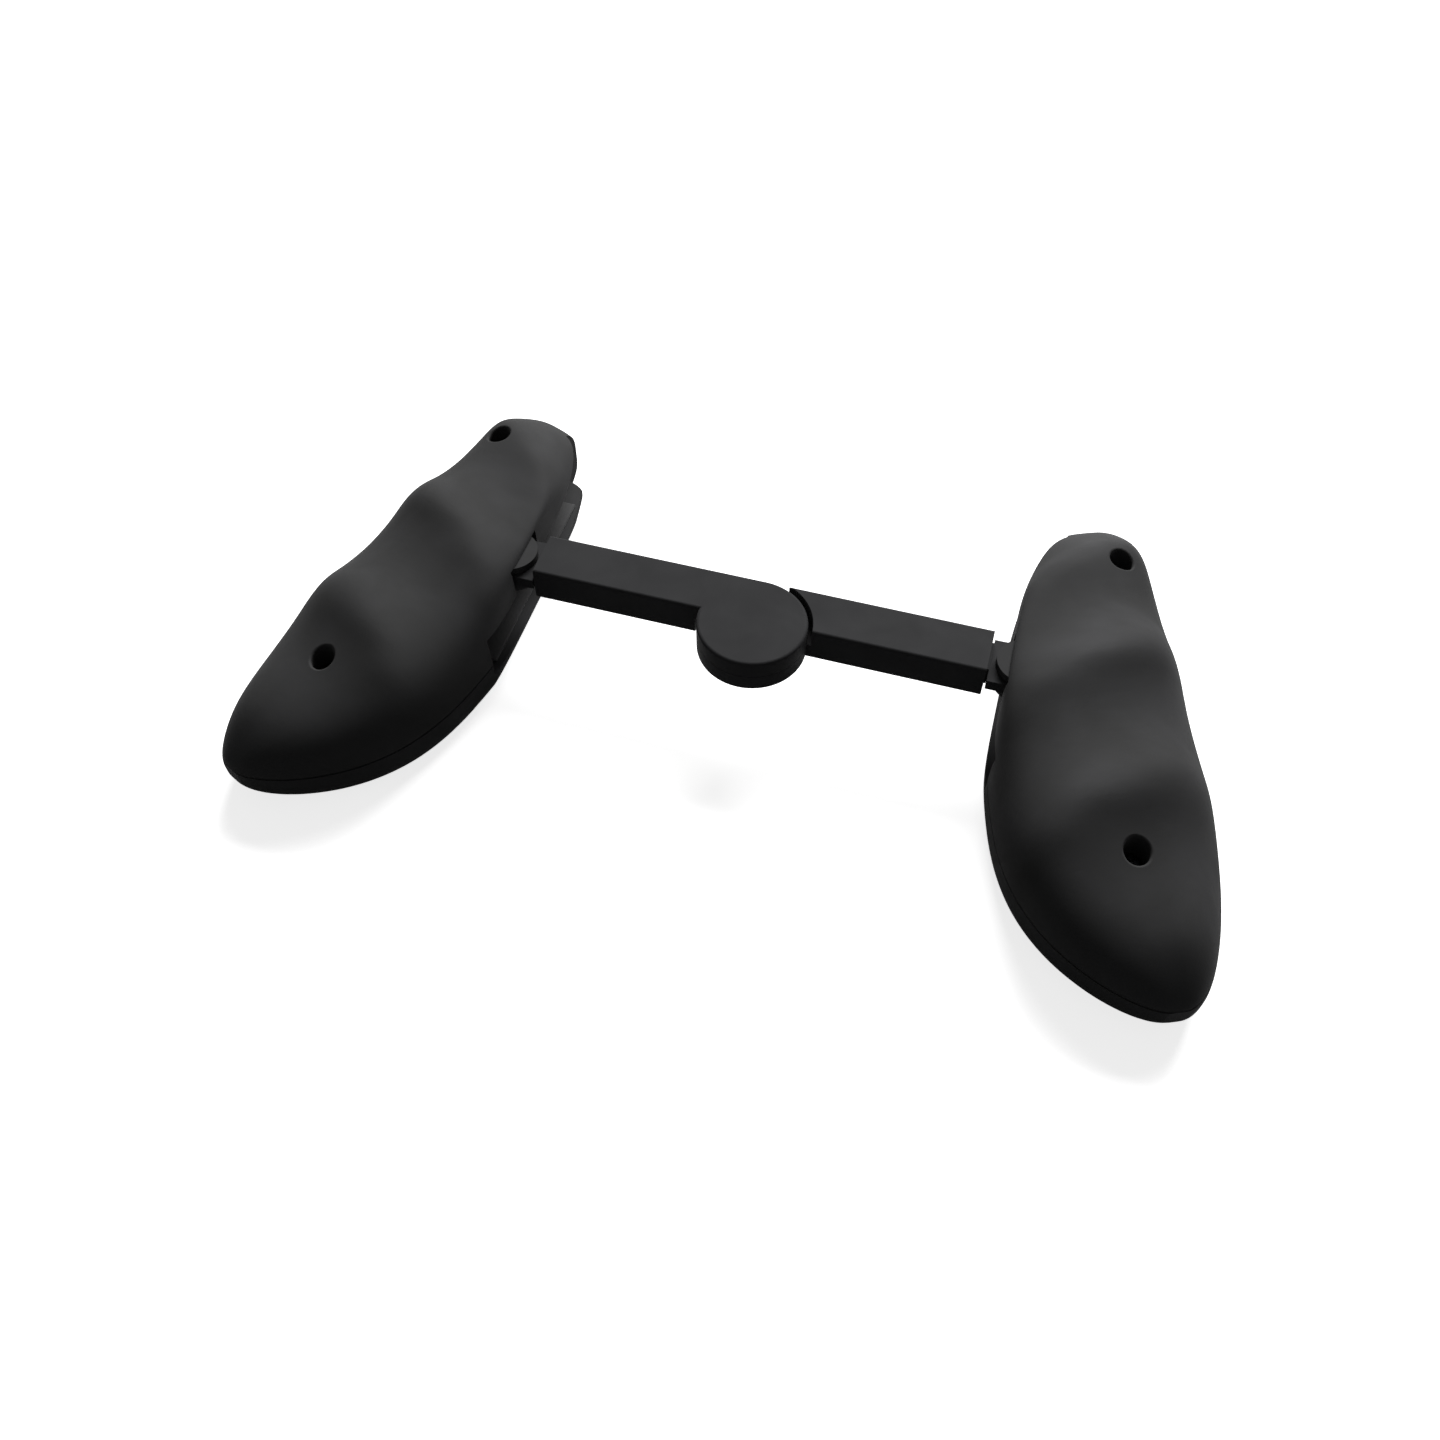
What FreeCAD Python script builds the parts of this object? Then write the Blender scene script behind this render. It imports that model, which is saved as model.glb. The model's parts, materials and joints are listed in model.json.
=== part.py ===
import FreeCAD, Part
import math
import os

from FreeCAD import Rotation, Vector

# A folding, telescoping phone grip. Two scalloped handles clamp a phone's ends in channels on their inner sides.
# Two flat sleeves meet in a round fold hinge, and a sprung slide in each sleeve ends in a clevis in its handle.
# Millimetres. +X to the right handle, +Y to the handles' tops, +Z to the finger side. The handles' front faces
# lie on Z = 0, X = 0 is the mid-plane between the handles, and the origin is under the middle of the outline.

# Arms: square-edged sleeves, seen from the finger side as two flat bars
arm_width = 10.0
arm_thickness = 7.3
arm_back_z = 23.0
arm_edge_round = 0.6
sleeve_reach = 43.3
sleeve_side_wall = 1.1
sleeve_face_wall = 1.0
sleeve_end_wall = 1.5

# Fold hinge: two half-thickness discs on one axis, which lies below the arms' lower edges
hinge_y = -1.56
hinge_radius = 10.35
arc_clearance = 0.9
disc_gap = 0.1
hub_radius = 3.5
hub_running_clearance = 0.06
hinge_head_radius = 5.4
hinge_head_thickness = 0.9
hinge_head_sink = 0.25
hinge_washer_thickness = 0.3
hinge_screw_radius = 1.5
hinge_recess_clearance = 0.4
hinge_cover = 1.0

# Slides: a foot and a shaft in the sleeve, and a flat tongue outside it
slide_travel = 22.0
slide_clearance = 0.15
slide_foot_length = 4.0
shaft_width = 6.4
shaft_thickness = 4.1
tongue_thickness = 2.3
tongue_sink = 2.7
tongue_gap = 0.4
mouth_bush_length = 4.0
foot_end_gap = 0.3

# Slide springs: open coils in a groove in the shaft, between a pin in the sleeve and a peg in the shaft
spring_radius = 1.25
spring_wire = 0.4
spring_turns = 22
spring_groove_side = 0.35
spring_groove_floor = 0.5
spring_groove_end = 0.3
spring_pin_radius = 0.6
spring_pin_inset = 2.4
spring_peg_inset = 5.0
spring_eye_clearance = 0.1
spring_leg = 0.5

# Knuckles: the clevis in each handle, its pin, and its two screws
knuckle_from_sleeve = 6.3
ear_top_sink = 1.0
ear_bottom_sink = 0.15
ear_clearance = 0.12
knuckle_swing_gap = 0.4
knuckle_web_length = 5.2
knuckle_screw_pitch = 5.2
knuckle_pin_radius = 1.6
knuckle_pin_clearance = 0.05
knuckle_pin_cover = 0.6
knuckle_pin_head_radius = 2.6
knuckle_pin_head_depth = 0.7
window_side = 1.0
window_top = 0.3
cheek_thickness = 1.2
saddle_reach = 2.0

# Handle body: rings square to an axis that splays out below the arms, with X measured from the knuckle
splay_deg = 24.0
handle_from_knuckle = 16.1
top_reach = 50.6
heel_reach = 52.6
top_squareness = 3.1
heel_squareness = 2.4
body_half_width = 18.65
body_height = 19.8
body_depth = 8.0
widest_below_arm = 15.5
inner_face_from_knuckle = 2.6
inner_corner = 0.7
ring_step = 4.0
ring_points = 44
ring_ends = (0.995, 0.97, 0.93)

# How the body changes along its axis: the factors of t, t squared and t cubed, with t counted in these units
change_unit = 50.0
centre_drift = (12.8, 5.1, -4.9)
width_change = (-0.38, -0.14, 0.325)
height_change = (0.7, -2.6, 0.5)

# How fast a ring's width, back and front close in at the body's ends
closing_powers = (1.13, 1.24, 0.62)

# Squareness of a ring's sides: (sideways, upwards), 2 for an ellipse and more for a boxier corner
outer_squareness = (2.0, 1.5)
inner_squareness = (3.1, 2.9)
front_squareness = (4.3, 3.9)

# Shoulder: where the inner side swells out and squares up to roof the arm's end over
shoulder_station = 18.5
shoulder_length = 19.0
shoulder_swell = 0.3
shoulder_squaring = 0.9

# Finger scallops: round valleys between soft crests, whose lines drop away towards the phone
crest_station = 9.6
scallop_pitch = 27.15
scallop_depth = 4.4
scallop_outer_depth = 0.1
crest_softness = 0.25
crest_drop = 10.3
crest_drop_power = 3.3
crest_fade = 0.51
crest_fade_power = 2.3
heel_fade_station = -46.9
heel_fade_length = 11.1

# Shells, channel and lip
wall = 2.0
seam_below_arm = 14.2
seam_gap = 0.15
rim_above_arm_front = 0.3
channel_gap = 9.8
channel_depth = 6.0
channel_end = 13.0
lip_thickness = 3.2
lip_corner_radius = 7.0
lip_reach = 42.0
lip_bevel = 1.4
lip_edge = 0.8
shelf_end = 20.5
ledge_thickness = 1.2
floor_wall = 1.6
inner_fit = 0.2

# Rubber pads in the channel
floor_pad_thickness = 0.8
floor_pad_inset = 1.0
lip_pad_thickness = 0.6
lip_pad_inset = 1.8
pad_margin = 3.0
pad_clearance = 0.5

# Shell screws in their wells, at places measured from the knuckle in X and from the hinge's axis in Y
top_screw = (14.0, 34.3)
heel_screw = (23.4, -28.6)
well_radius = 2.3
well_wall = 1.3
well_floor = 1.4
well_round = 0.4
top_well_depth = 6.0
heel_well_depth = 7.0
screw_head_radius = 2.0
screw_head_height = 1.4
screw_head_round = 0.45
screw_radius = 1.1
screw_length = 8.0
screw_clearance = 0.05
knuckle_screw_length = 7.0
post_radius = 3.0
drive_width = 0.5
drive_length = 2.4
drive_depth = 0.7

# Levels and places worked out from the sizes above
arm_front_z = arm_back_z - arm_thickness
arm_mid_z = arm_back_z - arm_thickness / 2
split_low = arm_mid_z - disc_gap / 2
split_high = arm_mid_z + disc_gap / 2
arm_y1 = hinge_y + hinge_radius
arm_y0 = arm_y1 - arm_width
arm_y = arm_y1 - arm_width / 2
seam_z = arm_back_z - seam_below_arm
rim_z = arm_front_z + rim_above_arm_front
lip_z = rim_z - channel_gap
lip_front_z = lip_z - lip_thickness
knuckle_x = sleeve_reach + knuckle_from_sleeve
handle_x = knuckle_x + handle_from_knuckle
inner_face_x = knuckle_x - inner_face_from_knuckle
channel_floor_x = inner_face_x + channel_depth + floor_pad_thickness
liner_x = channel_floor_x + floor_wall
channel_y0 = hinge_y - channel_end
shelf_y0 = hinge_y - shelf_end
lip_top = hinge_y + lip_reach

head_z0 = arm_front_z + hinge_head_sink
head_z1 = head_z0 + hinge_head_thickness
washer_z0 = head_z1 + disc_gap
washer_z1 = washer_z0 + hinge_washer_thickness
arc_radius = hinge_radius + arc_clearance
cavity_x = arc_radius + sleeve_end_wall
cavity_half = arm_width / 2 - sleeve_side_wall
cavity_z0 = arm_front_z + sleeve_face_wall
cavity_z1 = arm_back_z - sleeve_face_wall

foot_x0 = cavity_x + foot_end_gap
foot_x1 = foot_x0 + slide_foot_length
tongue_x = sleeve_reach + tongue_gap
tongue_z1 = arm_back_z - tongue_sink
tongue_z0 = tongue_z1 - tongue_thickness
shaft_z0 = arm_mid_z - shaft_thickness / 2
shaft_z1 = arm_mid_z + shaft_thickness / 2
groove_z = shaft_z0 + 2 * spring_radius + spring_groove_floor
spring_z = groove_z - spring_groove_floor - spring_radius
spring_pin_x = cavity_x + spring_pin_inset
spring_peg_x = tongue_x - spring_peg_inset

ear_radius = arm_width / 2
ear_top_z = arm_back_z - ear_top_sink
ear_bottom_z = arm_front_z + ear_bottom_sink
web_x0 = knuckle_x + ear_radius + knuckle_swing_gap
web_x1 = web_x0 + knuckle_web_length
web_x = (web_x0 + web_x1) / 2
knuckle_head_z = ear_bottom_z + screw_head_height + inner_fit
far = 80.0
tiny = 0.01


def box(x0, y0, z0, x1, y1, z1):
    """A box between two corners."""
    return Part.makeBox(x1 - x0, y1 - y0, z1 - z0, Vector(x0, y0, z0))


def post(x, y, z0, z1, radius):
    """An upright cylinder."""
    return Part.makeCylinder(radius, z1 - z0, Vector(x, y, z0))


def plate(edges, z0, z1):
    """A flat outline in the XY plane, given as edges in order, raised between two levels."""
    face = Part.Face(Part.Wire(edges))
    face.translate(Vector(0, 0, z0))
    return face.extrude(Vector(0, 0, z1 - z0))


def rounded(shape, radius, chosen):
    """The shape with a fillet on each edge that the chosen test picks."""
    return shape.makeFillet(radius, [edge for edge in shape.Edges if chosen(edge)])


def screw(x, y, z_head, length, up):
    """A pan-head screw whose head seats on a level: up is +1 with the head on top and -1 with it below."""
    z_top, z_tip = z_head + up * screw_head_height, z_head - up * length
    head = post(x, y, min(z_head, z_top), max(z_head, z_top), screw_head_radius)
    head = rounded(head, screw_head_round, lambda e: e.Closed and abs(e.CenterOfMass.z - z_top) < tiny)
    shank = post(x, y, min(z_head, z_tip), max(z_head, z_tip), screw_radius)
    return head.fuse(shank).cut(cross_drive(x, y, z_top, up)).removeSplitter()


def cross_drive(x, y, z_top, up):
    """The cross recess in a screw's head."""
    z0, z1 = sorted((z_top - up * drive_depth, z_top + up))
    along = box(x - drive_length / 2, y - drive_width / 2, z0, x + drive_length / 2, y + drive_width / 2, z1)
    across = box(x - drive_width / 2, y - drive_length / 2, z0, x + drive_width / 2, y + drive_length / 2, z1)
    return along.fuse(across)


def line(x0, y0, x1, y1):
    """A straight edge in the XY plane."""
    return Part.LineSegment(Vector(x0, y0, 0), Vector(x1, y1, 0)).toShape()


def arc(x0, y0, xm, ym, x1, y1):
    """A round edge through three points in the XY plane."""
    return Part.Arc(Vector(x0, y0, 0), Vector(xm, ym, 0), Vector(x1, y1, 0)).toShape()


def circle_x(radius, y):
    """Where a circle round the fold hinge crosses a level on its right side."""
    return math.sqrt(radius ** 2 - (y - hinge_y) ** 2)


def disc_half(z0, z1, outer_z):
    """The half of an arm's thickness that runs into its hinge disc, rounded along its outer face."""
    x_low = circle_x(hinge_radius, arm_y0)
    outline = [line(0, arm_y1, sleeve_reach, arm_y1), line(sleeve_reach, arm_y1, sleeve_reach, arm_y0),
               line(sleeve_reach, arm_y0, x_low, arm_y0),
               arc(x_low, arm_y0, -hinge_radius, hinge_y, 0, arm_y1)]
    solid = plate(outline, z0, z1)
    return rounded(solid, arm_edge_round, lambda e: abs(e.CenterOfMass.z - outer_z) < tiny
                   and abs(e.CenterOfMass.x - sleeve_reach) > tiny)


def clear_half(z0, z1, outer_z):
    """The other half, which ends on an arc that clears the neighbour's disc."""
    x_low, x_high = circle_x(arc_radius, arm_y0), circle_x(arc_radius, arm_y1)
    x_mid = circle_x(arc_radius, arm_y)
    outline = [line(x_high, arm_y1, sleeve_reach, arm_y1), line(sleeve_reach, arm_y1, sleeve_reach, arm_y0),
               line(sleeve_reach, arm_y0, x_low, arm_y0),
               arc(x_low, arm_y0, x_mid, arm_y, x_high, arm_y1)]
    solid = plate(outline, z0, z1)
    long_side = (sleeve_reach - x_low) / 2
    return rounded(solid, arm_edge_round, lambda e: abs(e.CenterOfMass.z - outer_z) < tiny
                   and e.Length > long_side and abs(e.tangentAt(e.FirstParameter).y) < tiny)


def sleeve(upper_disc):
    """One arm's hollow sleeve in the right arm's place, with its half disc above or below the split."""
    if upper_disc:
        body = disc_half(split_high, arm_back_z, arm_back_z)
        body = body.fuse(clear_half(arm_front_z, split_high, arm_front_z))
    else:
        body = disc_half(arm_front_z, split_low, arm_front_z)
        body = body.fuse(clear_half(split_low, arm_back_z, arm_back_z))
    body = body.removeSplitter()
    body = body.cut(box(cavity_x, arm_y - cavity_half, cavity_z0, far, arm_y + cavity_half, cavity_z1))
    return body.cut(post(spring_pin_x, arm_y, 0, cavity_z0 + inner_fit, spring_pin_radius + screw_clearance))


def hub_sleeve():
    """The left arm's sleeve, in the right arm's place: its disc's hub takes the hinge screw."""
    body = sleeve(True).fuse(post(0, hinge_y, head_z1, split_high + inner_fit, hub_radius))
    return body.cut(post(0, hinge_y, 0, arm_back_z - hinge_cover, hinge_screw_radius + screw_clearance))


def bored_sleeve():
    """The right arm's sleeve: its disc turns on the hub and holds the washer in a recess."""
    body = sleeve(False).cut(post(0, hinge_y, 0, arm_back_z, hub_radius + hub_running_clearance))
    return body.cut(post(0, hinge_y, 0, washer_z1, hinge_head_radius + hinge_recess_clearance))


def hinge_screw():
    """The hinge's wide flat screw, driven up into the hub."""
    head = post(0, hinge_y, head_z0, head_z1, hinge_head_radius)
    shank = post(0, hinge_y, head_z1, arm_back_z - hinge_cover - inner_fit, hinge_screw_radius)
    return head.fuse(shank).cut(cross_drive(0, hinge_y, head_z0, -1)).removeSplitter()


def hinge_washer():
    """The thin ring between the screw's head and the lower disc."""
    ring = post(0, hinge_y, washer_z0, washer_z1, hinge_head_radius)
    return ring.cut(post(0, hinge_y, washer_z0, washer_z1, hub_radius + disc_gap))


def slide():
    """The right slide: a foot and a grooved shaft in the sleeve, and a tongue with a round end."""
    half = cavity_half - slide_clearance
    foot = box(foot_x0, arm_y - half, cavity_z0 + slide_clearance, foot_x1, arm_y + half,
               cavity_z1 - slide_clearance)
    shaft = box(foot_x0, arm_y - shaft_width / 2, shaft_z0, tongue_x, arm_y + shaft_width / 2, shaft_z1)
    tongue = box(tongue_x, arm_y0, tongue_z0, knuckle_x, arm_y1, tongue_z1)
    tongue = tongue.fuse(post(knuckle_x, arm_y, tongue_z0, tongue_z1, ear_radius))
    body = foot.multiFuse([shaft, tongue])
    half_groove = spring_radius + spring_groove_side
    eye_reach = spring_pin_radius + spring_eye_clearance + spring_wire
    groove_end = spring_peg_x + eye_reach + spring_groove_end
    body = body.cut(box(0, arm_y - half_groove, 0, groove_end, arm_y + half_groove, groove_z))
    body = body.fuse(post(spring_peg_x, arm_y, shaft_z0 + inner_fit, groove_z, spring_pin_radius))
    body = body.cut(post(knuckle_x, arm_y, 0, arm_back_z, knuckle_pin_radius + knuckle_pin_clearance))
    return body.removeSplitter()


def mouth_bush():
    """The collar in a sleeve's mouth that guides the shaft and stops the foot."""
    x0 = sleeve_reach - mouth_bush_length
    collar = box(x0, arm_y - cavity_half, cavity_z0, sleeve_reach, arm_y + cavity_half, cavity_z1)
    half = shaft_width / 2 + slide_clearance
    return collar.cut(box(x0, arm_y - half, shaft_z0 - slide_clearance, sleeve_reach, arm_y + half,
                          shaft_z1 + slide_clearance))


def spring_pin():
    """The pin through the sleeve's front wall that holds the spring's inner eye."""
    return post(spring_pin_x, arm_y, arm_front_z + inner_fit, spring_z + spring_wire, spring_pin_radius)


def spring():
    """The slide's extension spring: one helix with a round eye at each end, made as one solid."""
    coil = spring_radius - spring_wire / 2
    eye = spring_pin_radius + spring_eye_clearance + spring_wire / 2
    x0 = spring_pin_x + eye + spring_leg
    length = spring_peg_x - eye - spring_leg - x0
    helix = Part.makeHelix(length / spring_turns, length, coil)
    helix.Placement = FreeCAD.Placement(Vector(x0, arm_y, spring_z), Rotation(Vector(0, 1, 0), 90))
    edge = helix.Edges[0]
    first, last = edge.valueAt(edge.FirstParameter), edge.valueAt(edge.LastParameter)
    profile = Part.Wire(Part.makeCircle(spring_wire / 2, first, edge.tangentAt(edge.FirstParameter)))
    turns = Part.Wire(helix.Edges).makePipeShell([profile], True, True)
    print("gap between the spring's turns:", round(length / spring_turns - spring_wire, 3))
    pieces = []
    for end, x, side in ((first, spring_pin_x, 1), (last, spring_peg_x, -1)):
        root = Vector(x + side * eye, arm_y, spring_z)
        pieces.append(Part.makeTorus(eye, spring_wire / 2, Vector(x, arm_y, spring_z)))
        pieces.append(Part.makeCylinder(spring_wire / 2, (end - root).Length, root, end - root))
        pieces.append(Part.makeSphere(spring_wire / 2, end))
    return turns.multiFuse(pieces)


def knuckle_block():
    """The right clevis: two round ears on a web that is screwed up into the back shell."""
    block = box(web_x0, arm_y0, ear_bottom_z, web_x1, arm_y1, ear_top_z)
    for z0, z1 in ((ear_bottom_z, tongue_z0 - ear_clearance), (tongue_z1 + ear_clearance, ear_top_z)):
        ear = box(knuckle_x, arm_y0, z0, web_x0, arm_y1, z1)
        block = block.fuse(ear.fuse(post(knuckle_x, arm_y, z0, z1, ear_radius)))
    block = block.removeSplitter()
    bore = knuckle_pin_radius + knuckle_pin_clearance
    block = block.cut(post(knuckle_x, arm_y, 0, ear_top_z - knuckle_pin_cover, bore))
    head = knuckle_pin_head_radius + knuckle_pin_clearance
    block = block.cut(post(knuckle_x, arm_y, 0, ear_bottom_z + knuckle_pin_head_depth + screw_clearance, head))
    for y in knuckle_screw_rows():
        block = block.cut(post(web_x, y, 0, knuckle_head_z, screw_head_radius + screw_clearance))
        block = block.cut(post(web_x, y, 0, arm_back_z, screw_radius + screw_clearance))
    return block


def knuckle_screw_rows():
    """The levels of the two screws in a knuckle's web."""
    return (arm_y - knuckle_screw_pitch / 2, arm_y + knuckle_screw_pitch / 2)


def knuckle_pin():
    """The pin through both ears and the tongue, with its head in the lower ear."""
    head_top = ear_bottom_z + knuckle_pin_head_depth
    head = post(knuckle_x, arm_y, ear_bottom_z, head_top, knuckle_pin_head_radius)
    return head.fuse(post(knuckle_x, arm_y, head_top, ear_top_z - knuckle_pin_cover - screw_clearance,
                          knuckle_pin_radius))


def side_power(value, squareness):
    """A signed power that turns a sine or cosine into a superellipse's coordinate."""
    return math.copysign(abs(value) ** (2.0 / squareness), value)


def cubic(factors, t):
    """A change along the handle, from its factors of t, t squared and t cubed."""
    return factors[0] * t + factors[1] * t ** 2 + factors[2] * t ** 3


def scallop(station, side):
    """Depth factor of the finger scallops, 0 on a crest and about -1 in a valley."""
    inward = (1 - side) / 2
    phase = math.pi * (station + crest_drop * inward ** crest_drop_power - crest_station) / scallop_pitch
    wave = crest_softness - math.hypot(math.sin(phase), crest_softness)
    heel_fade = 1 + math.exp((heel_fade_station - station) / heel_fade_length)
    return wave * (1 - crest_fade * inward ** crest_fade_power) / heel_fade


def soft_limit(value, floor):
    """The value, eased so that it stays above a floor: the handle's flat inner face with its rounded corners."""
    over = (value - floor) / inner_corner
    return max(value, floor) + inner_corner * math.log1p(math.exp(-abs(over)))


def back_squareness(c, shoulder):
    """The squareness of a ring's finger side, blended from its inner to its outer quarter."""
    outward = (1 + c) / 2
    boxier = 1 + shoulder_squaring * shoulder * math.sqrt(max(-c, 0.0))
    return [(inner + (outer - inner) * outward) * boxier
            for inner, outer in zip(inner_squareness, outer_squareness)]


def handle_ring(station, inset):
    """One closed ring of the right handle's body at a station along its splayed axis, or of its hollow."""
    reach, squareness = (top_reach, top_squareness) if station > 0 else (heel_reach, heel_squareness)
    closing = (1 - (abs(station) / (reach - inset)) ** squareness) ** (1 / squareness)
    t = station / change_unit
    centre = cubic(centre_drift, t)
    half = (body_half_width * (1 + cubic(width_change, t)) - inset) * closing ** closing_powers[0]
    height = (body_height + cubic(height_change, t) - inset) * closing ** closing_powers[1]
    depth = (body_depth - inset) * closing ** closing_powers[2]
    shoulder = math.exp(-((station - shoulder_station) / shoulder_length) ** 2)
    splay = math.radians(splay_deg)
    face = (inner_face_x + inset - handle_x + station * math.sin(splay)) / math.cos(splay)
    ring = []
    for i in range(ring_points):
        angle = 2 * math.pi * (i + 0.5) / ring_points
        c, s = math.cos(angle), math.sin(angle)
        across, rising = front_squareness if s < 0 else back_squareness(c, shoulder)
        side, rise = side_power(c, across), side_power(s, rising)
        wave = scallop(station, side) * closing
        reach_out = half * side * (1 if side > 0 else 1 + shoulder_swell * shoulder)
        u = soft_limit(centre + reach_out + wave * scallop_outer_depth * max(side, 0.0), face)
        z = arm_back_z - widest_below_arm
        z += (height + wave * scallop_depth) * rise if rise > 0 else depth * rise
        x = handle_x + u * math.cos(splay) - station * math.sin(splay)
        y = hinge_y + u * math.sin(splay) + station * math.cos(splay)
        ring.append(Vector(x, y, z))
    return ring


def handle_body(inset):
    """The right handle's whole outer form, or with an inset its hollow, as one lofted solid."""
    top, heel = top_reach - inset, heel_reach - inset
    last = int((min(ring_ends) * min(top, heel) - ring_step / 2) / ring_step)
    stations = [-heel * end for end in ring_ends]
    stations += [ring_step * k for k in range(-last, last + 1)]
    stations += [top * end for end in reversed(ring_ends)]
    wires = []
    for station in stations:
        curve = Part.BSplineCurve()
        curve.interpolate(handle_ring(station, inset), PeriodicFlag=True, Parameters=range(ring_points + 1))
        wires.append(Part.Wire(curve.toShape()))
    return Part.makeLoft(wires, True, False)


def channel_liner():
    """The stock that stays solid round the phone's channel: its ledge, floor wall, end wall and lip."""
    return [box(0, channel_y0 - floor_wall, lip_front_z, liner_x, far, rim_z + ledge_thickness),
            box(0, shelf_y0 - floor_wall, -1, liner_x, far, lip_z)]


def channel_void():
    """What the phone's end slides into, with the shelf in front of the lip and the lip's round top corner."""
    void = box(0, channel_y0, lip_z, channel_floor_x, far, rim_z)
    centre_x, centre_y = channel_floor_x - lip_corner_radius, shelf_y0 + lip_corner_radius
    shelf = box(0, shelf_y0, -1, centre_x, far, lip_front_z)
    shelf = shelf.fuse(box(0, centre_y, -1, channel_floor_x, far, lip_front_z))
    shelf = shelf.fuse(post(centre_x, centre_y, -1, lip_front_z, lip_corner_radius))
    corner_x, corner_y = inner_face_x + lip_corner_radius, lip_top - lip_corner_radius
    corner = box(0, corner_y, -1, channel_floor_x, far, rim_z)
    corner = corner.cut(post(corner_x, corner_y, -1, rim_z, lip_corner_radius))
    corner = corner.cut(box(corner_x, 0, -1, far, lip_top, rim_z))
    return void.multiFuse([shelf, corner, lip_slope()])


def lip_slope():
    """The wedge that sets the lip's lower edge back from the phone, below a narrow upright edge."""
    low_x, high_z = inner_face_x + lip_bevel, lip_z - lip_edge
    corners = [Vector(0, shelf_y0, high_z), Vector(inner_face_x, shelf_y0, high_z),
               Vector(low_x, shelf_y0, lip_front_z), Vector(0, shelf_y0, lip_front_z)]
    return Part.Face(Part.makePolygon(corners + corners[:1])).extrude(Vector(0, far, 0))


def shell_screw_places():
    """Where the two shell screws stand: x, y and the level of their wells' floors."""
    return ((knuckle_x + top_screw[0], hinge_y + top_screw[1], arm_back_z - top_well_depth),
            (knuckle_x + heel_screw[0], hinge_y + heel_screw[1], arm_back_z - heel_well_depth))


def back_shell(body, hollow):
    """The finger-side shell, with its screw wells, the knuckle's saddle and the arm's window."""
    solid = [box(web_x0, arm_y0 - cheek_thickness - inner_fit, ear_top_z, web_x1 + saddle_reach,
                 arm_y1 + cheek_thickness + inner_fit, far)]
    for y in (arm_y0 - cheek_thickness - inner_fit, arm_y1 + inner_fit):
        solid.append(box(web_x0, y, rim_z, web_x1, y + cheek_thickness, far))
    for x, y, z in shell_screw_places():
        solid.append(post(x, y, z - well_floor, far, well_radius + well_wall))
    shell = body.common(box(0, -far, seam_z + seam_gap / 2, 2 * far, far, far)).cut(hollow.cut(solid))
    half_window = ear_radius + window_side
    half_web = arm_width / 2 + inner_fit
    removals = [channel_void(),
                box(0, arm_y - half_window, arm_front_z, web_x0, arm_y + half_window, ear_top_z + window_top),
                box(web_x0 - 1, arm_y - half_web, arm_front_z, web_x1 + inner_fit, arm_y + half_web, ear_top_z)]
    for x, y, z in shell_screw_places():
        removals.append(post(x, y, z, far, well_radius))
        removals.append(post(x, y, z - 2 * well_floor, z, screw_radius + inner_fit))
    for y in knuckle_screw_rows():
        removals.append(post(web_x, y, ear_top_z, knuckle_head_z + knuckle_screw_length + inner_fit,
                             screw_radius + screw_clearance))
    shell = shell.cut(removals)
    return rounded(shell, well_round, is_well_rim)


def is_well_rim(edge):
    """Whether an edge runs round the mouth of a screw well."""
    span = edge.LastParameter - edge.FirstParameter
    points = [edge.valueAt(edge.FirstParameter + span * share) for share in (0.0, 0.35, 0.7, 1.0)]
    for x, y, z in shell_screw_places():
        on_wall = all(abs(math.hypot(p.x - x, p.y - y) - well_radius) < tiny for p in points)
        if on_wall and min(p.z for p in points) > z + tiny and edge.Length > well_radius / 2:
            return not (abs(points[0].x - points[-1].x) < tiny and abs(points[0].y - points[-1].y) < tiny
                        and abs(points[0].z - points[-1].z) > tiny)
    return False


def front_shell(body, hollow):
    """The thumb-side shell with the lip, a flat front to rest on and two posts for the shell screws."""
    shell = body.common(box(0, -far, 0, 2 * far, far, seam_z - seam_gap / 2)).cut(hollow).cut(channel_void())
    posts = [post(x, y, wall / 2, z - well_floor, post_radius) for x, y, z in shell_screw_places()]
    shell = shell.multiFuse(posts)
    holes = [post(x, y, z - screw_length - inner_fit, z, screw_radius + screw_clearance)
             for x, y, z in shell_screw_places()]
    return shell.cut(holes)


def floor_pad():
    """The rubber strip on the channel's floor, against the phone's end."""
    return box(channel_floor_x - floor_pad_thickness, channel_y0 + pad_margin, lip_z + floor_pad_inset,
               channel_floor_x, lip_top - pad_margin, rim_z - floor_pad_inset)


def lip_pad():
    """The rubber strip on the lip, against the phone's screen side."""
    return box(inner_face_x + lip_pad_inset, channel_y0 + pad_margin, lip_z,
               channel_floor_x - floor_pad_thickness - pad_clearance, lip_top - lip_corner_radius,
               lip_z + lip_pad_thickness)


def handle():
    """Every piece of the right handle by its name."""
    body = handle_body(0.0)
    hollow = handle_body(wall).cut(channel_liner())
    shell_screws = [screw(x, y, z, screw_length, 1) for x, y, z in shell_screw_places()]
    knuckle_screws = [screw(web_x, y, knuckle_head_z, knuckle_screw_length, -1) for y in knuckle_screw_rows()]
    return {
        "back_shell": back_shell(body, hollow),
        "front_shell": front_shell(body, hollow),
        "channel_pad": floor_pad(),
        "lip_pad": lip_pad(),
        "knuckle_block": knuckle_block(),
        "knuckle_pin": knuckle_pin(),
        "shell_screws": Part.makeCompound(shell_screws),
        "knuckle_screws": Part.makeCompound(knuckle_screws),
    }


def arm_pieces():
    """What both arms share, in the right arm's place."""
    return {"slide": slide(), "mouth_bush": mouth_bush(), "spring_pin": spring_pin(), "slide_spring": spring()}


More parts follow.
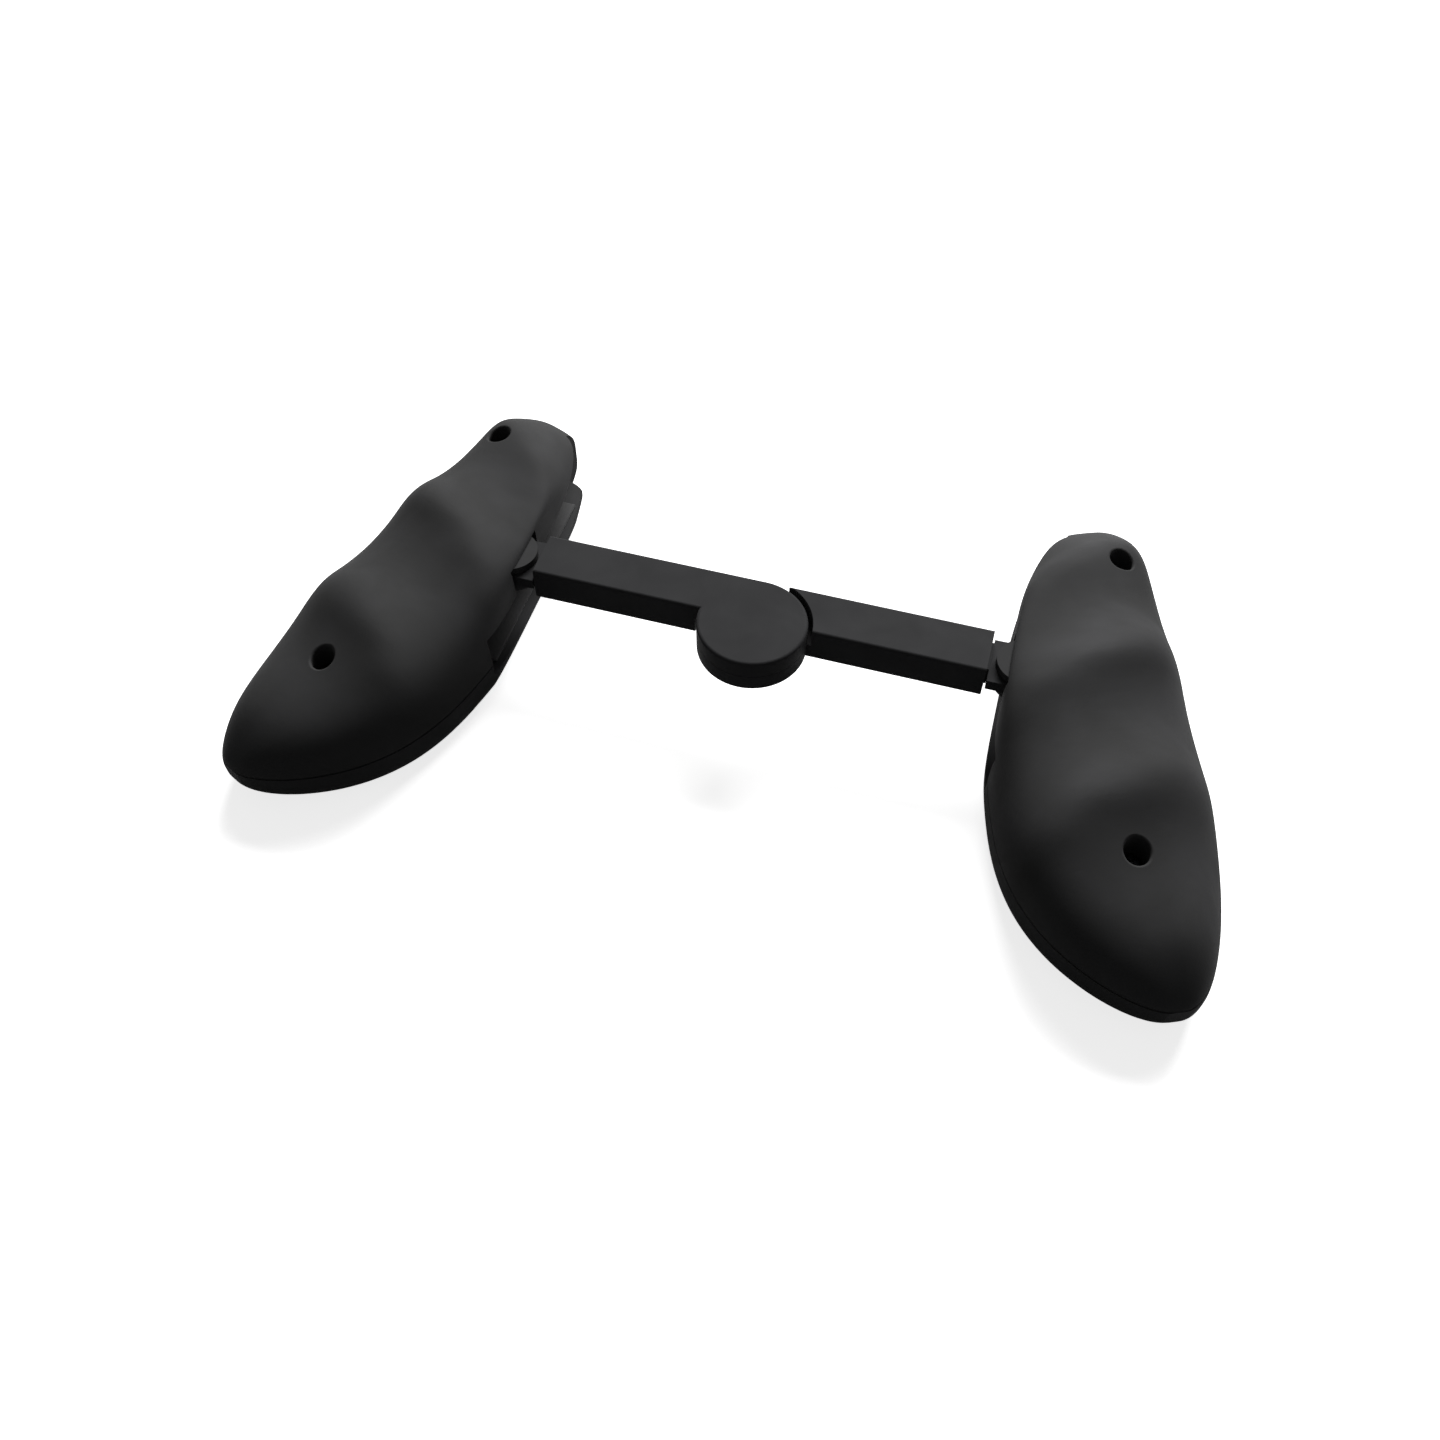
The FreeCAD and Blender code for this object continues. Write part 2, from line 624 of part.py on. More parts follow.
def write(name, shape):
    """Writes one node's file."""
    shape.exportStep(f"parts/{name}.step")


def mirrored(shape):
    """The shape on the other side of the mid-plane."""
    return shape.mirror(Vector(0, 0, 0), Vector(1, 0, 0))


os.makedirs("parts", exist_ok=True)
for name, shape in {**handle(), **arm_pieces()}.items():
    write(f"right_{name}", shape)
    write(f"left_{name}", mirrored(shape))
write("right_sleeve", bored_sleeve())
write("left_sleeve", mirrored(hub_sleeve()))
write("hinge_screw", hinge_screw())
write("hinge_washer", hinge_washer())
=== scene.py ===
"""Dresses the folding, telescoping phone grip: finishes, coils, pads, screws, floor, light and camera."""

import json
import logging
import math
from dataclasses import dataclass
from enum import Enum

import bmesh
import bpy
from mathutils import Matrix, Vector

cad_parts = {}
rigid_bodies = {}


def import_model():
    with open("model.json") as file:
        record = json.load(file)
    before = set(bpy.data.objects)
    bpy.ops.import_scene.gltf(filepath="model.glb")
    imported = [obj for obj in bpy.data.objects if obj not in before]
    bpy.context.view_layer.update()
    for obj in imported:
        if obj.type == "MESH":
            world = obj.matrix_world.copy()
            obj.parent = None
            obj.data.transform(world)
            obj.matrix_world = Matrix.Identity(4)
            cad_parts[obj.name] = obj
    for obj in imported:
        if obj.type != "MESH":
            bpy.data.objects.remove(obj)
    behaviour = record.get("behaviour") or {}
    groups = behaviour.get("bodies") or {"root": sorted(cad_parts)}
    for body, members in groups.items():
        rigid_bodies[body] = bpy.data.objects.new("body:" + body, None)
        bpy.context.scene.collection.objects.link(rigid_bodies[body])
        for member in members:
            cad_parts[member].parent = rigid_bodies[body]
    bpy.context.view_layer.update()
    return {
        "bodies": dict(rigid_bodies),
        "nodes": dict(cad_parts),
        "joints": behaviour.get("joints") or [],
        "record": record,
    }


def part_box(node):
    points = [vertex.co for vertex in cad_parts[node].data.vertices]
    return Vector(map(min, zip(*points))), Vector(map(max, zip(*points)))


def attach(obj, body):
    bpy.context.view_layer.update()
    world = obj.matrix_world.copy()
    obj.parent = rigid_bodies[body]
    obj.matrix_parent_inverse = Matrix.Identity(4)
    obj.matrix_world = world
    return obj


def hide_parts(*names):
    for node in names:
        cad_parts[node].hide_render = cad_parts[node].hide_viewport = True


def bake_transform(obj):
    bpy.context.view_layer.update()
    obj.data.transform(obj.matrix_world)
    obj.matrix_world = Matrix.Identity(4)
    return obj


MM = 0.001
# How far the Wave texture's angle turns over one unit at scale 1, in radians
WAVE_RATE = 20.0
LOG = logging.getLogger("phone_grip")


class Side(Enum):
    """The two halves of the grip, with the sign of their X."""

    LEFT = ("left", -1)
    RIGHT = ("right", 1)

    @property
    def word(self) -> str:
        """The side's name, as the nodes' names start."""
        return self.value[0]

    @property
    def sign(self) -> int:
        """The sign of the side's X."""
        return self.value[1]


class HeadUp(Enum):
    """Which way a screw's head points, with its turn about X."""

    YES = 0.0
    NO = math.pi


def linear(hex_colour: str) -> tuple[float, float, float, float]:
    """Turns an sRGB hex colour to linear.

    Args:
        hex_colour: six hex digits, with or without a hash sign.

    Returns:
        Red, green, blue and alpha, linear.
    """
    digits = hex_colour.lstrip("#")
    values = [int(digits[i:i + 2], 16) / 255 for i in (0, 2, 4)]
    bent = [v / 12.92 if v <= 0.04045 else ((v + 0.055) / 1.055) ** 2.4 for v in values]
    return (*bent, 1.0)


def add_node(tree: bpy.types.NodeTree, kind: str, settings: dict | None = None, links: dict | None = None,
             values: dict | None = None) -> bpy.types.Node:
    """Adds one node with its settings, its unlinked values and its incoming links.

    Args:
        tree: the node tree.
        kind: the node's type name.
        settings: properties of the node.
        links: input names or numbers, each with the socket that feeds it.
        values: input names or numbers, each with its plain value.

    Returns:
        The new node.
    """
    node = tree.nodes.new(kind)
    for name, value in (settings or {}).items():
        setattr(node, name, value)
    for name, value in (values or {}).items():
        node.inputs[name].default_value = value
    for name, socket in (links or {}).items():
        tree.links.new(socket, node.inputs[name])
    return node


def principled(name: str) -> tuple[bpy.types.Material, bpy.types.NodeTree, bpy.types.Node]:
    """Starts a material.

    Args:
        name: the finish's name.

    Returns:
        The material, its node tree and its main shader.
    """
    made = bpy.data.materials.new(name)
    made.use_nodes = True
    return made, made.node_tree, made.node_tree.nodes["Principled BSDF"]


@dataclass(frozen=True)
class MouldedPlastic:
    """Plastic moulded in a finely pitted tool: a dull black skin, a little smoother where hands have rubbed it."""

    name: str
    colour: str
    rubbed_colour: str
    roughness: float
    grain_mm: float
    grain_depth_mm: float = 0.01
    grain_strength: float = 0.4
    rub_mm: float = 17.0
    rub_range: tuple[float, float] = (0.35, 0.68)
    rub_gloss: tuple[float, float] = (0.05, -0.06)
    fleck_share: float = 0.25
    ior: float = 1.53
    specular: float = 0.02
    # The parting line's height, and the half width and darkness of the painted shade laid along it
    seam_level: float | None = None
    seam_half_mm: float = 0.16
    seam_share: float = 0.3

    def material(self) -> bpy.types.Material:
        """Builds the material: clouds of rubbed sheen, fine flecks of tone, and the spark grain in relief.

        Returns:
            The finished material.
        """
        made, tree, shader = principled(self.name)
        shader.inputs["IOR"].default_value = self.ior
        shader.inputs["Specular IOR Level"].default_value = self.specular
        place = add_node(tree, "ShaderNodeTexCoord").outputs["Object"]
        # The real pits are about 0.05 mm across, which no picture shows, so they are drawn as coarse as grain_mm
        grain = add_node(tree, "ShaderNodeTexNoise", links={"Vector": place},
                         values={"Scale": 1 / (self.grain_mm * MM), "Detail": 3.0, "Roughness": 0.62})
        rub = add_node(tree, "ShaderNodeTexNoise", links={"Vector": place},
                       values={"Scale": 1 / (self.rub_mm * MM), "Detail": 3.0, "Distortion": 0.4})
        share = add_node(tree, "ShaderNodeMapRange", links={"Value": rub.outputs["Fac"]},
                         values={"From Min": self.rub_range[0], "From Max": self.rub_range[1]})
        fleck = add_node(tree, "ShaderNodeMix", {"data_type": "FLOAT"},
                         {"A": share.outputs["Result"], "B": grain.outputs["Fac"]}, {"Factor": self.fleck_share})
        tone = add_node(tree, "ShaderNodeMix", {"data_type": "RGBA"}, {"Factor": fleck.outputs["Result"]})
        for socket, tint in zip((s for s in tone.inputs if s.type == "RGBA"), (self.colour, self.rubbed_colour)):
            socket.default_value = linear(tint)
        colour = next(s for s in tone.outputs if s.type == "RGBA")
        # The parting line gets painted shade: the colour darkens in a thin band at the seam's height
        if self.seam_level is not None:
            colour = self.seam_line(tree, place, colour)
        tree.links.new(colour, shader.inputs["Base Color"])
        dull = add_node(tree, "ShaderNodeMapRange", links={"Value": share.outputs["Result"]},
                        values={"To Min": self.roughness + self.rub_gloss[0],
                                "To Max": self.roughness + self.rub_gloss[1]})
        tree.links.new(dull.outputs["Result"], shader.inputs["Roughness"])
        bump = add_node(tree, "ShaderNodeBump", links={"Height": grain.outputs["Fac"]},
                        values={"Strength": self.grain_strength, "Distance": self.grain_depth_mm * MM})
        tree.links.new(bump.outputs["Normal"], shader.inputs["Normal"])
        return made

    def seam_line(self, tree: bpy.types.NodeTree, place: bpy.types.NodeSocket,
                  colour: bpy.types.NodeSocket) -> bpy.types.NodeSocket:
        """Paints shade into the colour at the parting line: a dark band that stands for the shade in the groove
        between the shells.

        Args:
            tree: the material's tree.
            place: Object coordinates.
            colour: the skin's colour.

        Returns:
            The colour with the line in it.
        """
        height = add_node(tree, "ShaderNodeSeparateXYZ", links={"Vector": place})
        off = add_node(tree, "ShaderNodeMath", {"operation": "SUBTRACT"}, {0: height.outputs["Z"]},
                       {1: self.seam_level})
        near = add_node(tree, "ShaderNodeMath", {"operation": "ABSOLUTE"}, {0: off.outputs["Value"]})
        share = add_node(tree, "ShaderNodeMapRange", links={"Value": near.outputs["Value"]},
                         values={"From Min": self.seam_half_mm * MM, "From Max": 2 * self.seam_half_mm * MM,
                                 "To Min": self.seam_share, "To Max": 1.0})
        seam_shaded = add_node(tree, "ShaderNodeVectorMath", {"operation": "SCALE"},
                         {"Vector": colour, "Scale": share.outputs["Result"]})
        return seam_shaded.outputs["Vector"]


@dataclass(frozen=True)
class SoftRubber:
    """Moulded silicone rubber: deep, dry black with a pale bloom of dust that softens every edge."""

    name: str = "moulded_silicone_rubber"
    colour: str = "#222223"
    bloom_colour: str = "#2c2b2b"
    roughness: float = 0.78
    ior: float = 1.43
    sheen: float = 0.12
    sheen_roughness: float = 0.5
    bloom_mm: float = 2.2
    bloom_range: tuple[float, float] = (0.42, 0.72)
    bloom_gloss: tuple[float, float] = (-0.06, 0.1)
    pebble_mm: float = 0.02

    def material(self) -> bpy.types.Material:
        """Builds the material: bloom in patches, a soft sheen and a faint pebble.

        Returns:
            The finished material.
        """
        made, tree, shader = principled(self.name)
        shader.inputs["IOR"].default_value = self.ior
        shader.inputs["Sheen Weight"].default_value = self.sheen
        shader.inputs["Sheen Roughness"].default_value = self.sheen_roughness
        place = add_node(tree, "ShaderNodeTexCoord").outputs["Object"]
        bloom = add_node(tree, "ShaderNodeTexNoise", links={"Vector": place},
                         values={"Scale": 1 / (self.bloom_mm * MM), "Detail": 5.0, "Roughness": 0.6})
        ramp = add_node(tree, "ShaderNodeValToRGB", links={"Fac": bloom.outputs["Fac"]})
        for stop, spot, tint in zip(ramp.color_ramp.elements, self.bloom_range, (self.colour, self.bloom_colour)):
            stop.position, stop.color = spot, linear(tint)
        tree.links.new(ramp.outputs["Color"], shader.inputs["Base Color"])
        dull = add_node(tree, "ShaderNodeMapRange", links={"Value": bloom.outputs["Fac"]},
                        values={"To Min": self.roughness + self.bloom_gloss[0],
                                "To Max": self.roughness + self.bloom_gloss[1]})
        tree.links.new(dull.outputs["Result"], shader.inputs["Roughness"])
        bump = add_node(tree, "ShaderNodeBump", links={"Height": bloom.outputs["Fac"]},
                        values={"Strength": 0.3, "Distance": self.pebble_mm * MM})
        tree.links.new(bump.outputs["Normal"], shader.inputs["Normal"])
        return made


@dataclass(frozen=True)
class MachinedAcetal:
    """Turned and milled acetal: a waxy dark grey with fine parallel tool lines along the arm."""

    name: str = "machined_grey_acetal"
    colour: str = "#39393b"
    line_colour: str = "#444447"
    ior: float = 1.48
    line_mm: float = 1.5708
    line_depth_mm: float = 0.01
    gloss_range: tuple[float, float] = (0.34, 0.44)

    def material(self) -> bpy.types.Material:
        """Builds the material: tool lines, drawn several times as wide as real ones so that they show.

        Returns:
            The finished material.
        """
        made, tree, shader = principled(self.name)
        shader.inputs["IOR"].default_value = self.ior
        place = add_node(tree, "ShaderNodeTexCoord").outputs["Object"]
        lines = add_node(tree, "ShaderNodeTexWave", {"bands_direction": "Y"}, {"Vector": place},
                         {"Scale": 2 * math.pi / (self.line_mm * MM * WAVE_RATE), "Distortion": 1.5, "Detail": 3.0,
                          "Detail Scale": 2.0})
        ramp = add_node(tree, "ShaderNodeValToRGB", links={"Fac": lines.outputs["Fac"]})
        ramp.color_ramp.elements[0].color = linear(self.colour)
        ramp.color_ramp.elements[1].color = linear(self.line_colour)
        tree.links.new(ramp.outputs["Color"], shader.inputs["Base Color"])
        dull = add_node(tree, "ShaderNodeMapRange", links={"Value": lines.outputs["Fac"]},
                        values={"To Min": self.gloss_range[0], "To Max": self.gloss_range[1]})
        tree.links.new(dull.outputs["Result"], shader.inputs["Roughness"])
        bump = add_node(tree, "ShaderNodeBump", links={"Height": lines.outputs["Fac"]},
                        values={"Strength": 0.2, "Distance": self.line_depth_mm * MM})
        tree.links.new(bump.outputs["Normal"], shader.inputs["Normal"])
        return made


@dataclass(frozen=True)
class Steel:
    """Steel by its last process: ground, drawn or blackened, with scratches that run one way and duller patches."""

    name: str
    colour: str
    patch_colour: str
    roughness: float
    scratch_mm: tuple[float, float, float]
    patch_mm: float = 1.6
    tone_range: tuple[float, float] = (0.12, 0.4)
    scratch_gloss: tuple[float, float] = (-0.08, 0.12)
    scratch_depth_mm: float = 0.005
    metallic: float = 1.0

    def material(self) -> bpy.types.Material:
        """Builds the material: long fine scratches in tone, gloss and relief, over cloudy patches.

        Returns:
            The finished material.
        """
        made, tree, shader = principled(self.name)
        shader.inputs["Metallic"].default_value = self.metallic
        place = add_node(tree, "ShaderNodeTexCoord").outputs["Object"]
        stretch = add_node(tree, "ShaderNodeMapping", links={"Vector": place},
                           values={"Scale": [1 / (size * MM) for size in self.scratch_mm]})
        scratch = add_node(tree, "ShaderNodeTexNoise", links={"Vector": stretch.outputs["Vector"]},
                           values={"Scale": 1.0, "Detail": 4.0, "Roughness": 0.65})
        patch = add_node(tree, "ShaderNodeTexNoise", links={"Vector": place},
                         values={"Scale": 1 / (self.patch_mm * MM), "Detail": 3.0})
        both = add_node(tree, "ShaderNodeMath", {"operation": "MULTIPLY"},
                        {0: scratch.outputs["Fac"], 1: patch.outputs["Fac"]})
        ramp = add_node(tree, "ShaderNodeValToRGB", links={"Fac": both.outputs["Value"]})
        for stop, spot, tint in zip(ramp.color_ramp.elements, self.tone_range, (self.patch_colour, self.colour)):
            stop.position, stop.color = spot, linear(tint)
        tree.links.new(ramp.outputs["Color"], shader.inputs["Base Color"])
        dull = add_node(tree, "ShaderNodeMapRange", links={"Value": scratch.outputs["Fac"]},
                        values={"To Min": self.roughness + self.scratch_gloss[0],
                                "To Max": self.roughness + self.scratch_gloss[1]})
        tree.links.new(dull.outputs["Result"], shader.inputs["Roughness"])
        bump = add_node(tree, "ShaderNodeBump", links={"Height": scratch.outputs["Fac"]},
                        values={"Strength": 0.25, "Distance": self.scratch_depth_mm * MM})
        tree.links.new(bump.outputs["Normal"], shader.inputs["Normal"])
        return made


class Finishes:
    """The grip's finishes, each made once."""

    def __init__(self) -> None:
        """Builds every material."""
        # The shells meet just under the back shell's lowest edge
        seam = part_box("right_back_shell")[0][2]
        # The shells' material paints a band of shade along the parting line at this height
        self.shell = MouldedPlastic("spark_textured_black_abs", "#393939", "#414142", 0.64, 0.34,
                                    seam_level=seam).material()
        # The arms' tool was blasted finer than the handles', so their flats shine a little more evenly
        self.arm = MouldedPlastic("blasted_black_nylon", "#343435", "#383839", 0.6, 0.26, rub_mm=9.0,
                                  fleck_share=0.35).material()
        self.rubber = SoftRubber().material()
        self.acetal = MachinedAcetal().material()
        # Ground pins: bright, with fine rings of grinding round the pin
        self.pin = Steel("ground_pin_steel", "#b9b9bc", "#8e8f93", 0.26, (1.2, 1.2, 0.05)).material()
        # Drawn spring wire: grey and satin, with lines along the wire's run
        self.wire = Steel("drawn_spring_steel", "#a3a4a6", "#77787b", 0.32, (0.08, 0.3, 0.3)).material()
        # Black oxide: blue-black and oily, thin enough for the steel to gleam through
        self.oxide = Steel("black_oxide_steel", "#3a3b3e", "#1f2023", 0.36, (0.5, 0.5, 0.12)).material()


def dress(node: bpy.types.Object, material: bpy.types.Material) -> None:
    """Gives a whole piece one material."""
    node.data.materials.clear()
    node.data.materials.append(material)


def link_piece(name: str, mesh: bpy.types.Mesh) -> bpy.types.Object:
    """Puts a finished mesh in the scene as a piece.

    Args:
        name: the piece's name, which its mesh takes too.
        mesh: the finished mesh.

    Returns:
        The new object, at the origin.
    """
    mesh.name = name
    piece = bpy.data.objects.new(name, mesh)
    bpy.context.scene.collection.objects.link(piece)
    return piece


def new_tree(name: str, sizes: dict[str, tuple[str, float | tuple]]) -> tuple[bpy.types.NodeTree, bpy.types.Node]:
    """Starts a Geometry Nodes tree that takes a mesh and named sizes.

    Args:
        name: the tree's name.
        sizes: each input's name with its socket type and first value.

    Returns:
        The tree and its Group Input node.
    """
    tree = bpy.data.node_groups.new(name, "GeometryNodeTree")
    tree.interface.new_socket("Geometry", in_out="INPUT", socket_type="NodeSocketGeometry")
    for label, (kind, value) in sizes.items():
        socket = tree.interface.new_socket(label, in_out="INPUT", socket_type=f"NodeSocket{kind}")
        socket.default_value = value
    tree.interface.new_socket("Geometry", in_out="OUTPUT", socket_type="NodeSocketGeometry")
    return tree, add_node(tree, "NodeGroupInput")


def close_tree(tree: bpy.types.NodeTree, parts: list[bpy.types.NodeSocket], material: bpy.types.Material) -> None:
    """Ends a tree: joins its parts, makes instances real and sets the material.

    Args:
        tree: the Geometry Nodes tree.
        parts: the geometry sockets to join.
        material: the finish of all of it.
    """
    join = add_node(tree, "GeometryNodeJoinGeometry")
    for part in parts:
        tree.links.new(part, join.inputs["Geometry"])
    real = add_node(tree, "GeometryNodeRealizeInstances", links={"Geometry": join.outputs["Geometry"]})
    paint = add_node(tree, "GeometryNodeSetMaterial", links={"Geometry": real.outputs["Geometry"]},
                     values={"Material": material})
    out = add_node(tree, "NodeGroupOutput")
    tree.links.new(paint.outputs["Geometry"], out.inputs["Geometry"])


def grow(tree: bpy.types.NodeTree, sizes: dict, start: bpy.types.Mesh | None = None) -> bpy.types.Mesh:
    """Runs a tree once.

    Args:
        tree: the Geometry Nodes tree.
        sizes: values for its named inputs.
        start: the mesh that goes in, if the tree takes one.

    Returns:
        The result as a plain mesh.
    """
    host = bpy.data.objects.new("grow_host", start or bpy.data.meshes.new("grow_start"))
    bpy.context.scene.collection.objects.link(host)
    modifier = host.modifiers.new("grow", "NODES")
    modifier.node_group = tree
    sockets = {item.name: item.identifier for item in tree.interface.items_tree if item.in_out == "INPUT"}
    for label, value in sizes.items():
        modifier[sockets[label]] = value
    seen = host.evaluated_get(bpy.context.evaluated_depsgraph_get())
    made = bpy.data.meshes.new_from_object(seen)
    bpy.data.objects.remove(host)
    return made


def placed(mesh: bpy.types.Mesh, matrix: Matrix, side: Side) -> bpy.types.Mesh:
    """Moves a right-hand mesh to its place, mirrored with its faces turned back out for the left side.

    Args:
        mesh: the mesh as it was made.
        matrix: the move to its place on the right side.
        side: the side that it's for.

    Returns:
        The same mesh.
    """
    mesh.transform(matrix)
    if side is Side.LEFT:
        mesh.transform(Matrix.Diagonal((-1, 1, 1, 1)))
        mesh.flip_normals()
    return mesh


def smooth(mesh: bpy.types.Mesh, angle_deg: float = 35.0) -> bpy.types.Mesh:
    """Shades a mesh smooth but for its sharp edges.

    Args:
        mesh: the mesh.
        angle_deg: edges that turn by more than this stay sharp.

    Returns:
        The same mesh.
    """
    mesh.polygons.foreach_set("use_smooth", [True] * len(mesh.polygons))
    mesh.set_sharp_from_angle(angle=math.radians(angle_deg))
    return mesh


def right_box(node: str) -> tuple[Vector, Vector]:
    """The box of the right-hand one of a pair of nodes."""
    low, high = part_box(f"right_{node}")
    return Vector(low), Vector(high)


@dataclass
class PanHeadScrew:
    """A cross-drive pan-head screw with a rolled thread, head up, seated at the origin."""

    head_radius: float = 2.0 * MM
    head_height: float = 1.4 * MM
    core_radius: float = 0.88 * MM
    thread_radius: float = 1.08 * MM
    thread_pitch: float = 0.5 * MM
    point_length: float = 0.9 * MM
    drive_radius: float = 1.25 * MM
    drive_width: float = 0.55 * MM
    drive_depth: float = 0.8 * MM
    dome_share: float = 0.45
    rim_share: float = 0.2
    seat_bevel: float = 0.12 * MM
    neck: float = 0.15 * MM
    neck_drop: float = 0.2 * MM
    under_head: float = 0.6 * MM
    tip_share: float = 0.25
    drive_floor_share: float = 0.6
    drive_top_share: float = 1.3
    ridge_share: float = 0.42
    ridge_inset: float = 0.2 * MM
    steps: int = 40

    def blank(self, length: float) -> bpy.types.Mesh:
        """Turns the head and the core on a lathe, and sinks the cross into the head.

        Args:
            length: from the seat to the tip.

        Returns:
            The screw without its thread.
        """
        r, h = self.head_radius, self.head_height
        angles = [math.radians(degrees) for degrees in range(12, 91, 13)]
        dome = [(r * math.sin(a), h * (self.dome_share + (1 - self.dome_share) * math.cos(a))) for a in angles]
        profile = [(0.0, h), *dome, (r, h * self.rim_share), (r - self.seat_bevel, 0.0),
                   (self.core_radius + self.neck, 0.0), (self.core_radius, -self.neck_drop),
                   (self.core_radius, -length + self.point_length),
                   (self.core_radius * self.tip_share, -length), (0.0, -length)]
        made = bmesh.new()
        rings = []
        for radius, z in profile:
            count = 1 if radius == 0.0 else self.steps
            rings.append([made.verts.new((radius * math.cos(2 * math.pi * k / self.steps),
                                          radius * math.sin(2 * math.pi * k / self.steps), z))
                          for k in range(count)])
        for upper, lower in zip(rings, rings[1:]):
            for k in range(self.steps):
                corners = [upper[k % len(upper)], lower[k % len(lower)],
                           lower[(k + 1) % len(lower)], upper[(k + 1) % len(upper)]]
                made.faces.new(list(dict.fromkeys(corners)))
        bmesh.ops.recalc_face_normals(made, faces=made.faces)
        mesh = bpy.data.meshes.new("screw_blank")
        made.to_mesh(mesh)
        made.free()
        return self.cut(mesh, self.cross())

    def cross(self) -> bpy.types.Mesh:
        """Makes the tapered cross that the recess is cut with.

        Returns:
            The cutter's mesh.
        """
        made = bmesh.new()
        top, floor = self.head_height * self.drive_top_share, self.head_height - self.drive_depth
        half, tip = self.drive_width / 2, self.drive_radius
        outline = []
        for quarter in range(4):
            turn = Matrix.Rotation(quarter * math.pi / 2, 3, "Z")
            outline += [turn @ Vector(p) for p in ((tip, -half, 0), (tip, half, 0), (half, half, 0))]
        upper = [made.verts.new((p.x, p.y, top)) for p in outline]
        lower = [made.verts.new((p.x * self.drive_floor_share, p.y * self.drive_floor_share, floor)) for p in outline]
        made.faces.new(upper)
        made.faces.new(lower[::-1])
        for k in range(len(outline)):
            after = (k + 1) % len(outline)
            made.faces.new((upper[k], lower[k], lower[after], upper[after]))
        bmesh.ops.recalc_face_normals(made, faces=made.faces)
        mesh = bpy.data.meshes.new("cross_cutter")
        made.to_mesh(mesh)
        made.free()
        return mesh

    def cut(self, mesh: bpy.types.Mesh, cutter: bpy.types.Mesh) -> bpy.types.Mesh:
        """Cuts one closed mesh out of another.

        Args:
            mesh: what is cut.
            cutter: what cuts it.

        Returns:
            The difference.
        """
        kept, knife = link_piece("screw_stock", mesh), link_piece("screw_knife", cutter)
        modifier = kept.modifiers.new("recess", "BOOLEAN")
        modifier.object = knife
        modifier.operation = "DIFFERENCE"
        modifier.solver = "EXACT"
        made = bpy.data.meshes.new_from_object(kept.evaluated_get(bpy.context.evaluated_depsgraph_get()))
        bpy.data.objects.remove(kept)
        bpy.data.objects.remove(knife)
        return made

    def tree(self, material: bpy.types.Material) -> bpy.types.NodeTree:
        """Builds the tree that threads a screw and sets one at each of two places.

        Args:
            material: the screws' finish.

        Returns:
            The Geometry Nodes tree.
        """
        tree, given = new_tree("pan_head_screws", {
            "First Place": ("Vector", (0, 0, 0)), "Second Place": ("Vector", (0, 0, 0)), "Flip": ("Float", 0.0),
            "Thread Radius": ("Float", 1.0), "Thread Pitch": ("Float", 1.0), "Thread Length": ("Float", 1.0),
            "Seed": ("Int", 0)})
        turns = add_node(tree, "ShaderNodeMath", {"operation": "DIVIDE"},
                         {0: given.outputs["Thread Length"], 1: given.outputs["Thread Pitch"]})
        spiral = add_node(tree, "GeometryNodeCurveSpiral",
                          links={"Rotations": turns.outputs["Value"],
                                 "Start Radius": given.outputs["Thread Radius"],
                                 "End Radius": given.outputs["Thread Radius"],
                                 "Height": given.outputs["Thread Length"]},
                          values={"Resolution": 20})
        half = add_node(tree, "ShaderNodeMath", {"operation": "MULTIPLY"},
                        {0: given.outputs["Thread Pitch"]}, {1: self.ridge_share})
        ridge = add_node(tree, "GeometryNodeCurvePrimitiveCircle", {"mode": "RADIUS"},
                         {"Radius": half.outputs["Value"]}, {"Resolution": 4})
        thread = add_node(tree, "GeometryNodeCurveToMesh",
                          links={"Curve": spiral.outputs["Curve"], "Profile Curve": ridge.outputs["Curve"]},
                          values={"Fill Caps": True})
        drop = add_node(tree, "ShaderNodeCombineXYZ")
        below = add_node(tree, "ShaderNodeMath", {"operation": "MULTIPLY_ADD"},
                         {0: given.outputs["Thread Length"]}, {1: -1.0, 2: -self.under_head})
        tree.links.new(below.outputs["Value"], drop.inputs["Z"])
        hung = add_node(tree, "GeometryNodeTransform",
                        links={"Geometry": thread.outputs["Mesh"], "Translation": drop.outputs["Vector"]})
        screw = add_node(tree, "GeometryNodeJoinGeometry")
        tree.links.new(given.outputs["Geometry"], screw.inputs["Geometry"])
        tree.links.new(hung.outputs["Geometry"], screw.inputs["Geometry"])
        apart = add_node(tree, "ShaderNodeVectorMath", {"operation": "SUBTRACT"},
                         {0: given.outputs["Second Place"], 1: given.outputs["First Place"]})
        places = add_node(tree, "GeometryNodeMeshLine", {"mode": "OFFSET"},
                          {"Start Location": given.outputs["First Place"], "Offset": apart.outputs["Vector"]},
                          {"Count": 2})
        turn = add_node(tree, "FunctionNodeRandomValue", {"data_type": "FLOAT"}, {"Seed": given.outputs["Seed"]})
        for socket in (s for s in turn.inputs if s.enabled and s.name in ("Min", "Max")):
            socket.default_value = 0.0 if socket.name == "Min" else math.pi / 2
        angle = next(s for s in turn.outputs if s.enabled)
        pose = add_node(tree, "ShaderNodeCombineXYZ", links={"X": given.outputs["Flip"], "Z": angle})
        copies = add_node(tree, "GeometryNodeInstanceOnPoints",
                          links={"Points": places.outputs["Mesh"], "Instance": screw.outputs["Geometry"],
                                 "Rotation": pose.outputs["Vector"]})
        close_tree(tree, [copies.outputs["Instances"]], material)
        return tree

